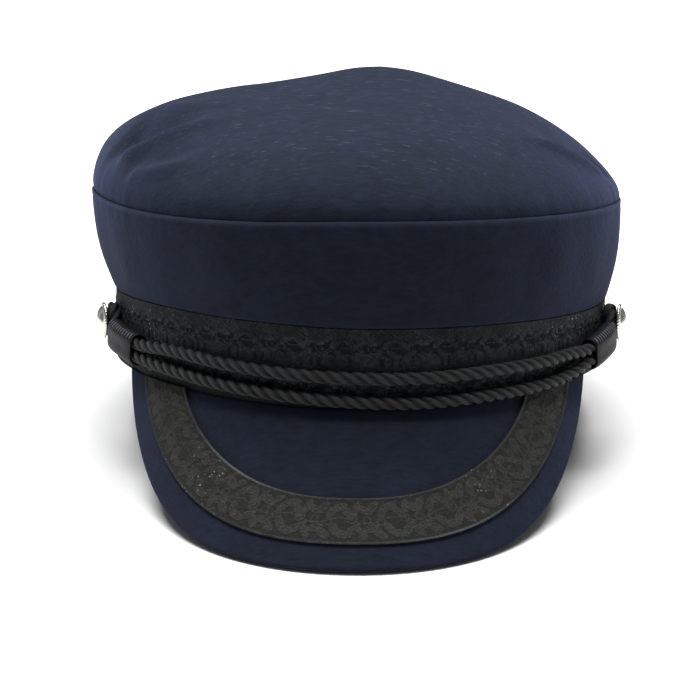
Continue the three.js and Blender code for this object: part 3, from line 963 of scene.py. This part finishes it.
relief = np.maximum(spray(along + 4, across) * inside_edges * 0.8, edges)
# painted glints around the places listed in SPARKLES
sparkle = sum(np.exp(-(((along - middle) / reach_of) ** 2)) for middle, reach_of in SPARKLES)
lift = GAP + BRAID_BASE + relief * BRAID_RELIEF
move_points(peak_braid, stand(on_peak(angle, reach, lift)))
# painted highlight: stretches of both edges around INNER_EDGE_LIT and OUTER_EDGE_LIT are painted paler
lit_middle = np.where(across > 0, INNER_EDGE_LIT, OUTER_EDGE_LIT)
lit_part = np.exp(-(((along - lit_middle) / EDGE_LIT_REACH) ** 2))
edge_light = edges * lit_part
store(peak_braid, relief=relief, along=along, across=across, sparkle=sparkle, edge_light=edge_light)
apply_modifier(peak_braid, "SOLIDIFY", thickness=BRAID_THICKNESS / 1000, offset=-1)
complete(peak_braid, peak_braid_finish, "peak_braid")
print("braid is", round(float(braid_length)), "mm long")

# %% [markdown]
# ### Twisted cord
# The cord is one closed loop. From the front it goes along the band to a button, round its shank,
# back below itself, and the same way on the other side. It is laid from three strands, and each
# strand from eight yarns that turn the other way. A curve with a round bevel can't show that, so
# each strand is swept in code, ring by ring.

# %% The cord's way
CORD_RADIUS = 2.15
CORD_OUT = CORD_RADIUS + 2 * GAP
CORD_PAIR = 4.4
KEEPER_WALL = 0.8
KEEPER_SLACK = 0.25
KEEPER_OUT = GAP + KEEPER_WALL + KEEPER_SLACK + CORD_RADIUS
BUTTON_SHANK = 2
BUTTON_TILT = 27
FITTINGS = {
    # angles in degrees from the front, and heights: a keeper's two ends, and its button
    "left": {
        "sign": 1, "from": 62.3, "to": 75, "low": 12, "high": 15.4, "button": 79.2, "height": 19.6,
    },
    "right": {
        "sign": -1, "from": 56.3, "to": 69, "low": 12.8, "high": 15.4, "button": 73.3, "height": 19.2,
    },
}
CORD_RUNS = [
    # angle, upper, lower
    (-45, 15, 8.6), (-30, 13.1, 6.1), (-15, 11.4, 4.2), (0, 10.6, 2.8),
    (15, 10.5, 2.4), (30, 11.7, 3.6), (45, 12.8, 5.1), (55, 13.7, 7),
]


def button_frame(fitting):
    """Where a button sits on the band: its z is straight out, and its x runs along the cord."""
    sign = fitting["sign"]
    angle = np.array(math.radians(sign * fitting["button"]))
    z = Vector(outward(angle))
    y = Vector((0, 0, 1))
    x = y.cross(z)
    place = Matrix.Translation(Vector(on_oval(angle, 0, fitting["height"])))
    turn = Matrix((x, y, z)).transposed().to_4x4()
    return place @ turn @ Matrix.Rotation(math.radians(sign * BUTTON_TILT), 4, "Z")


def in_keeper(fitting, share, outwards, upwards):
    """A point at a share of a keeper's length, so far out and so far up from its middle."""
    given = (np.asarray(v, float) for v in (share, outwards, upwards))
    share, outwards, upwards = np.broadcast_arrays(*given)

    def angle_at(s):
        return fitting["sign"] * np.radians(fitting["from"] + (fitting["to"] - fitting["from"]) * s)

    def middle(s):
        return on_oval(angle_at(s), KEEPER_OUT, fitting["low"] + (fitting["high"] - fitting["low"]) * s)

    step = 1e-3
    ahead = middle(share + step) - middle(share - step)
    ahead /= np.linalg.norm(ahead, axis=-1, keepdims=True)
    out = outward(angle_at(share))
    out -= ahead * np.sum(out * ahead, axis=-1, keepdims=True)
    out /= np.linalg.norm(out, axis=-1, keepdims=True)
    up = np.cross(out, ahead) * fitting["sign"]
    return middle(share) + out * outwards[..., None] + up * upwards[..., None]


def cord_run(fitting, upper):
    sign = fitting["sign"]
    rows = sorted((row for row in CORD_RUNS if row[0] * sign >= 0), key=lambda row: row[0] * sign)
    open_run = [on_oval(math.radians(row[0]), CORD_OUT, row[1] if upper else row[2]) for row in rows]
    beside = CORD_PAIR / 2 if upper else -CORD_PAIR / 2
    return open_run + [in_keeper(fitting, share, 0, beside) for share in (-0.1, 0.2, 0.5, 0.8, 1.08)]


def cord_eye(fitting):
    radius = BUTTON_SHANK + CORD_RADIUS + GAP
    turns = [math.radians(d) for d in (100, 60, 20, -20, -60, -100)]
    across = [(fitting["sign"] * radius * math.cos(a), radius * math.sin(a), CORD_OUT) for a in turns]
    return [np.array(button_frame(fitting) @ Vector(p)) for p in across]


def smooth_loop(points, samples):
    """A closed curve through points, evenly tight in its bends, sampled many times between each two."""
    points = np.array(points)
    count = len(points)
    shares = np.linspace(0, 1, samples, endpoint=False)[:, None]
    made = []
    for i in range(count):
        p0, p1, p2, p3 = (points[(i + k) % count] for k in (-1, 0, 1, 2))
        d0, d1, d2 = (np.linalg.norm(b - a) ** 0.5 for a, b in ((p0, p1), (p1, p2), (p2, p3)))
        m1 = ((p1 - p0) / d0 - (p2 - p0) / (d0 + d1) + (p2 - p1) / d1) * d1
        m2 = ((p2 - p1) / d1 - (p3 - p1) / (d1 + d2) + (p3 - p2) / d2) * d1
        made.append(cubic(shares, p1, m1, p2, m2))
    return np.concatenate(made)


left, right = FITTINGS["left"], FITTINGS["right"]
cord_points = (
    cord_run(left, True)
    + cord_eye(left)
    + cord_run(left, False)[::-1]
    + cord_run(right, False)[1:]
    + cord_eye(right)[::-1]
    + cord_run(right, True)[1:][::-1]
)
way = smooth_loop(cord_points, 60)
closed_way = np.vstack([way, way[:1]])
travel = np.concatenate([[0], np.cumsum(np.linalg.norm(np.diff(closed_way, axis=0), axis=1))])
cord_length = travel[-1]
print("cord is", round(float(cord_length)), "mm round")

# %% Three strands of eight yarns
STRAND_RADIUS = 1.02
STRAND_OUT = 1.1
LAY = 13.4
YARNS = 8
RINGS = 720
AROUND = 32

at = np.linspace(0, cord_length, RINGS, endpoint=False)
centre = np.stack([np.interp(at, travel, closed_way[:, k]) for k in range(3)], -1)
ahead = np.roll(centre, -1, axis=0) - np.roll(centre, 1, axis=0)
ahead /= np.linalg.norm(ahead, axis=1, keepdims=True)
angle = np.arctan2(centre[:, 0] / OVAL_X, -centre[:, 1] / OVAL_Y)
out_way = outward(angle)
out_way -= ahead * np.sum(out_way * ahead, axis=1, keepdims=True)
out_way /= np.linalg.norm(out_way, axis=1, keepdims=True)
side_way = np.cross(ahead, out_way)
turns = round(float(cord_length) / LAY)
theta = np.linspace(0, 2 * math.pi, AROUND, endpoint=False)
cord_places = []
cord_faces = []
cord_notes = {"along": [], "across": [], "relief": []}
for strand in range(3):
    spin = 2 * math.pi * (at / cord_length * turns + strand / 3)
    from_axis = out_way * np.cos(spin)[:, None] + side_way * np.sin(spin)[:, None]
    core = centre + from_axis * STRAND_OUT
    strand_ahead = np.roll(core, -1, axis=0) - np.roll(core, 1, axis=0)
    strand_ahead /= np.linalg.norm(strand_ahead, axis=1, keepdims=True)
    strand_side = np.cross(strand_ahead, from_axis)
    yarn_spin = -2 * math.pi * at / cord_length * turns
    lobes = np.abs(np.cos((theta[None, :] - yarn_spin[:, None]) * YARNS / 2))
    radius = STRAND_RADIUS * (0.93 + 0.1 * lobes)
    outwards = from_axis[:, None, :] * np.cos(theta)[None, :, None]
    sideways = strand_side[:, None, :] * np.sin(theta)[None, :, None]
    offset = radius[..., None] * (outwards + sideways)
    first = sum(len(p) for p in cord_places)
    cord_places.append((core[:, None, :] + offset).reshape(-1, 3))
    rows = np.arange(RINGS)[:, None]
    columns = np.arange(AROUND)[None, :]
    here = first + rows * AROUND + columns
    beside = first + rows * AROUND + (columns + 1) % AROUND
    onward = first + (rows + 1) % RINGS * AROUND + columns
    both = first + (rows + 1) % RINGS * AROUND + (columns + 1) % AROUND
    cord_faces.append(np.stack([here, beside, both, onward], -1).reshape(-1, 4))
    cord_notes["along"].append(np.repeat(at, AROUND))
    cord_notes["across"].append(np.tile(theta / (2 * math.pi), RINGS))
    # relief: how far each point faces out of the cord, which its finish paints as highlight and shade
    cord_notes["relief"].append((lobes * 0.25 + np.cos(theta)[None, :] * 0.75).ravel())

cord_mesh = bpy.data.meshes.new("twisted_cord")
cord_places = stand(np.concatenate(cord_places)).tolist()
cord_mesh.from_pydata(cord_places, [], np.concatenate(cord_faces).tolist())
cord = bpy.data.objects.new("twisted_cord", cord_mesh)
bpy.context.scene.collection.objects.link(cord)
store(cord, **{name: np.concatenate(numbers) for name, numbers in cord_notes.items()})
face_outwards(cord)
complete(cord, cord_thread, "chin_cord")

# %% [markdown]
# ### Leather keepers
# Each keeper is a flat sleeve of leather, bent with the band, that holds both runs of the cord side
# by side. It is modelled straight: a circle is pulled apart into a long oval and extruded along the
# cord in short steps, gets its thickness and soft edges, and is then bent to the band by the same
# formula that leads the cord through it. A row of short stitches closes it along its upper edge.
# One stitch is modelled, and its copies are set in a row.

# %% Leather keepers
KEEPER_LENGTH = 23.0
KEEPER_STEPS = 14
KEEPER_SWELL = 0.1
KEEPER_PINCH = 0.12
MOUTH_TAPER = 0.05


def upright_circle(turn, **circle):
    bpy.ops.mesh.primitive_circle_add(rotation=turn, **circle)
    piece = only(bpy.context.object)
    bpy.ops.object.transform_apply(location=False, rotation=True, scale=False)
    return piece


def extrude_steps(piece, select_by, steps, step):
    edit(piece, select_by)
    bpy.ops.mesh.select_all(action="SELECT")
    for _ in range(steps):
        bpy.ops.mesh.extrude_region_move(TRANSFORM_OT_translate={"value": step})
    leave_edit()
    face_outwards(piece)


def bend_with_band(piece, fitting):
    """Bends a piece that was modelled straight along x into its keeper's place on the band."""
    x, y, z = points_of(piece).T
    move_points(piece, stand(in_keeper(fitting, x / KEEPER_LENGTH, z, y)))


def make_keeper(name):
    piece = upright_circle((0, math.radians(90), 0), vertices=48, radius=CORD_RADIUS + KEEPER_SLACK)
    piece.name = name
    places = points_of(piece)
    places[:, 1] += np.sign(np.round(places[:, 1], 6)) * CORD_PAIR / 2
    move_points(piece, places)
    extrude_steps(piece, "EDGE", KEEPER_STEPS, (KEEPER_LENGTH / KEEPER_STEPS, 0, 0))
    apply_modifier(piece, "SOLIDIFY", thickness=KEEPER_WALL, offset=1)
    apply_modifier(piece, "BEVEL", width=0.25, segments=2, limit_method="ANGLE", angle_limit=SHARP_ANGLE)
    smooth_subdivide(piece, 1)
    places = points_of(piece)
    share = places[:, 0] / KEEPER_LENGTH
    arch = np.sin(np.clip(share, 0, 1) * math.pi)
    taper = MOUTH_TAPER * (ease(share, 0.85, 1) + ease(-share, -0.15, 0))
    swell = 1 + KEEPER_SWELL * arch - taper
    pinch = KEEPER_PINCH * np.exp(-((places[:, 1] / 1.6) ** 2)) * arch
    places[:, 2] = np.where(places[:, 2] > 0, places[:, 2] * (swell - pinch), places[:, 2])
    places[:, 1] *= 1 + 0.02 * np.sin(share * 9)
    move_points(piece, places)
    return piece


STITCHES = 11
STITCH_RADIUS = 0.27
STITCH_LENGTH = 2.4
STITCH_STEPS = 8
STITCH_START = math.radians(28)


def make_stitch():
    """One stitch of thick thread, tapered where it goes into the leather."""
    turn = (math.radians(90), 0, 0)
    piece = upright_circle(turn, vertices=10, radius=STITCH_RADIUS, fill_type="NGON")
    extrude_steps(piece, "FACE", STITCH_STEPS, (0, STITCH_LENGTH / STITCH_STEPS, 0))
    places = points_of(piece)
    share = places[:, 1] / STITCH_LENGTH
    places[:, [0, 2]] *= (0.35 + 0.65 * np.sin(np.clip(share, 0, 1) * math.pi) ** 0.5)[:, None]
    places[:, 0] += 0.5 * (share - 0.5)
    move_points(piece, places)
    return piece


def stitch_row(name, fitting):
    """A row of stitches over the upper edge of a keeper, each wrapped round the edge."""
    first = make_stitch()
    shoulder = CORD_RADIUS + KEEPER_SLACK + KEEPER_WALL
    row = []
    for k in range(STITCHES):
        only(first)
        bpy.ops.object.duplicate()
        stitch = bpy.context.object
        x, y, z = points_of(stitch).T
        turn = STITCH_START + y / shoulder
        radius = shoulder + 0.12 + z
        along = KEEPER_LENGTH * (k + 0.7) / (STITCHES + 0.4) + x
        across = CORD_PAIR / 2 + radius * np.sin(turn)
        move_points(stitch, np.stack([along, across, radius * np.cos(turn)], -1))
        row.append(stitch)
    only(first)
    bpy.ops.object.delete()
    for stitch in row:
        stitch.select_set(True)
    bpy.context.view_layer.objects.active = row[0]
    bpy.ops.object.join()
    joined = bpy.context.object
    joined.name = name
    bend_with_band(joined, fitting)
    return joined


for side, fitting in FITTINGS.items():
    keeper = make_keeper("leather_keeper_" + side)
    bend_with_band(keeper, fitting)
    face_outwards(keeper)
    complete(keeper, leather_skin, "slide_" + side)
    stitches = stitch_row("keeper_stitches_" + side, fitting)
    face_outwards(stitches)
    complete(stitches, sewing_thread, None)

# %% [markdown]
# ### Buttons
# A button is turned work: one profile spun round an axis, with a rope edge nicked into its rim
# afterwards.

# %% Buttons
PROFILE = [
    # out from the axis, up along it
    (0.001, 0.3), (2, 0.3), (2, 5.3), (4.9, 5.3), (5.9, 5.5), (6.2, 6.0), (6.0, 6.5),
    (5.4, 6.8), (5.0, 6.9), (4.7, 7.3), (3.6, 8.1), (2.0, 8.75), (0.9, 8.97), (0.001, 9.0),
]
POLE_WELD = 0.015
ROPE_NICKS = 36
ROPE_DEPTH = 0.018
ROPE_FROM = 5.3


def make_button(name):
    bpy.ops.mesh.primitive_plane_add(size=0.1)
    piece = only(bpy.context.object)
    piece.name = name
    edit(piece)
    bpy.ops.mesh.select_all(action="SELECT")
    bpy.ops.mesh.merge(type="CENTER")
    bpy.ops.transform.translate(value=(PROFILE[0][0], 0, PROFILE[0][1]))
    for (r0, h0), (r1, h1) in zip(PROFILE, PROFILE[1:]):
        bpy.ops.mesh.extrude_region_move(TRANSFORM_OT_translate={"value": (r1 - r0, 0, h1 - h0)})
    bpy.ops.mesh.select_all(action="SELECT")
    bpy.ops.mesh.spin(steps=72, angle=2 * math.pi, center=(0, 0, 0), axis=(0, 0, 1))
    bpy.ops.mesh.select_all(action="SELECT")
    bpy.ops.mesh.remove_doubles(threshold=POLE_WELD)
    leave_edit()
    face_outwards(piece)
    smooth_subdivide(piece, 1)
    places = points_of(piece)
    spread = np.hypot(places[:, 0], places[:, 1])
    rim = np.clip((spread - ROPE_FROM) / 0.5, 0, 1)
    nicks = np.cos(ROPE_NICKS * np.arctan2(places[:, 1], places[:, 0]) + places[:, 2] * 5)
    places[:, :2] *= (1 + rim * nicks * ROPE_DEPTH)[:, None]
    move_points(piece, places)
    return piece


for side, fitting in FITTINGS.items():
    button = make_button("nickel_button_" + side)
    matrix = button_frame(fitting)
    move_points(button, stand([(matrix @ Vector(p))[:] for p in points_of(button)]))
    complete(button, nickel_plate, "button_" + side)
